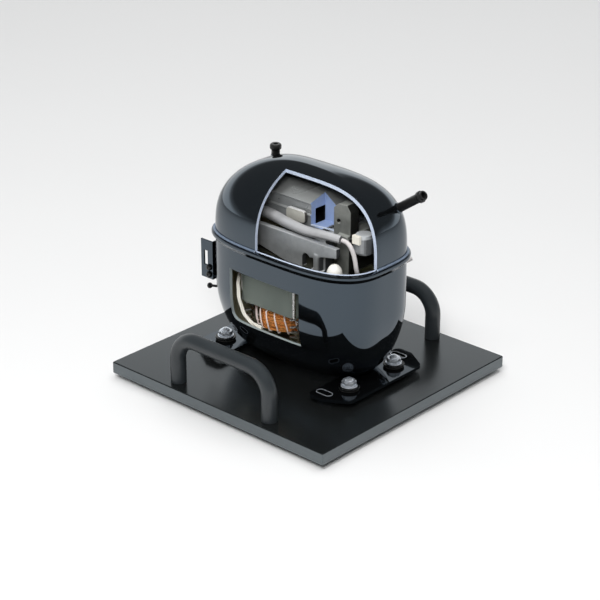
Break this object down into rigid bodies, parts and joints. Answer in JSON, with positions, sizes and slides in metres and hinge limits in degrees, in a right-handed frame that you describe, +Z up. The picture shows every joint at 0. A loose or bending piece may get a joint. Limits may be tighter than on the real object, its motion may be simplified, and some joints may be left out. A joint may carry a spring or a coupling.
{
  "type": "hermetic reciprocating compressor cutaway",
  "caption": "Sealed refrigeration compressor cut open for display: gloss black welded shell with two windows, motor and Scotch-yoke pump inside, bolted to a square board with carrying handles",
  "frame": {"origin": "Centre of the square board, on the plane its four rubber feet stand on", "axes": "+Z up; +X along the long axis of the shell towards the suction tube; -Y towards the two cutaway windows"},
  "size_m": [0.294, 0.286, 0.236],
  "materials": {
    "board": "satin black laminate over fibreboard, thin matt-lacquered edge",
    "rubber": "moulded black rubber",
    "handle_coat": "fine-textured matt black powder coat on steel bar",
    "shell_paint": "deep gloss black enamel on pressed steel",
    "zinc": "bright zinc plate",
    "tube_metal": "drawn steel tube, dull",
    "glass_terminal": "fused glass and plated pins in a steel cup",
    "spring_steel": "oiled spring steel wire",
    "lamination": "stacked electrical steel sheets",
    "copper": "enamelled copper wire",
    "lacing": "tied white lacing cord",
    "lead_sleeve": "woven white insulating sleeve over copper leads",
    "machined_steel": "ground steel, lightly oiled",
    "casting": "sand-cast iron, machined on its joint faces",
    "cut_paint": "pale blue paint on the sawn faces of a grey housing",
    "muffler_steel": "pressed steel, phosphate grey",
    "plastic_white": "moulded white plastic",
    "plastic_beige": "moulded beige plastic"
  },
  "bodies": {
    "base": {"base_board": "board", "board_foot_back_left": "rubber", "board_foot_back_right": "rubber", "board_foot_front_left": "rubber", "board_foot_front_right": "rubber", "bracket_screw_1": "zinc", "bracket_screw_2": "zinc", "carry_handle_back": "handle_coat", "carry_handle_front": "handle_coat", "connector_plug": "plastic_beige", "cylinder_block": "casting", "cylinder_head": "casting", "discharge_line": "tube_metal", "discharge_muffler": "casting", "earth_stud": "zinc", "foot_plate_left": "shell_paint", "foot_plate_right": "shell_paint", "grommet_back_left": "rubber", "grommet_back_right": "rubber", "grommet_front_left": "rubber", "grommet_front_right": "rubber", "head_bolt_lower_back": "machined_steel", "head_bolt_lower_front": "machined_steel", "head_bolt_upper_back": "machined_steel", "head_bolt_upper_front": "machined_steel", "motor_leads": "lead_sleeve", "mounting_bolt_back_left": "zinc", "mounting_bolt_back_right": "zinc", "mounting_bolt_front_left": "zinc", "mounting_bolt_front_right": "zinc", "muffler_inlet": "muffler_steel", "process_tube": "tube_metal", "shell_lower": "shell_paint", "shell_upper": "shell_paint", "spring_stop": "plastic_white", "stator_core": "lamination", "suction_muffler": "cut_paint", "suction_pipe": "tube_metal", "suction_tube": "tube_metal", "suspension_spring_back_left": "spring_steel", "suspension_spring_back_right": "spring_steel", "suspension_spring_front_left": "spring_steel", "suspension_spring_front_right": "spring_steel", "terminal_bracket": "shell_paint", "terminal_feedthrough": "glass_terminal", "valve_plate": "machined_steel", "washer_back_left": "zinc", "washer_back_right": "zinc", "washer_front_left": "zinc", "washer_front_right": "zinc", "winding_bottom": "copper", "winding_lacing": "lacing", "winding_top": "copper"},
    "crank": {"crankshaft": "machined_steel", "rotor_core": "lamination", "oil_pickup": "machined_steel"},
    "slider": {"slide_block": "machined_steel"},
    "cap": {"yoke_cap": "machined_steel"},
    "piston_yoke": {"scotch_yoke": "machined_steel", "piston": "machined_steel"}
  },
  "joints": [
    {"name": "crank_spin", "type": "hinge", "parent": "base", "child": "crank", "pos_m": [-0.016, 0, 0.1], "axis": [0, 0, 1], "continuous": true},
    {"name": "slide_block_pivot", "type": "hinge", "parent": "crank", "child": "slider", "pos_m": [-0.008, 0, 0.158], "axis": [0, 0, 1], "continuous": true},
    {"name": "yoke_cap_turn", "type": "hinge", "parent": "crank", "child": "cap", "pos_m": [-0.012, 0, 0.167], "axis": [0, 0, 1], "continuous": true},
    {"name": "piston_stroke", "type": "hinge", "parent": "cap", "child": "piston_yoke", "pos_m": [-0.008, 0, 0.158], "axis": [0, 0, 1], "continuous": true}
  ],
  "couplings": [
    {"joint": "slide_block_pivot", "follows": "crank_spin", "ratio": -1},
    {"joint": "yoke_cap_turn", "follows": "crank_spin", "ratio": -2},
    {"joint": "piston_stroke", "follows": "crank_spin", "ratio": 1}
  ]
}
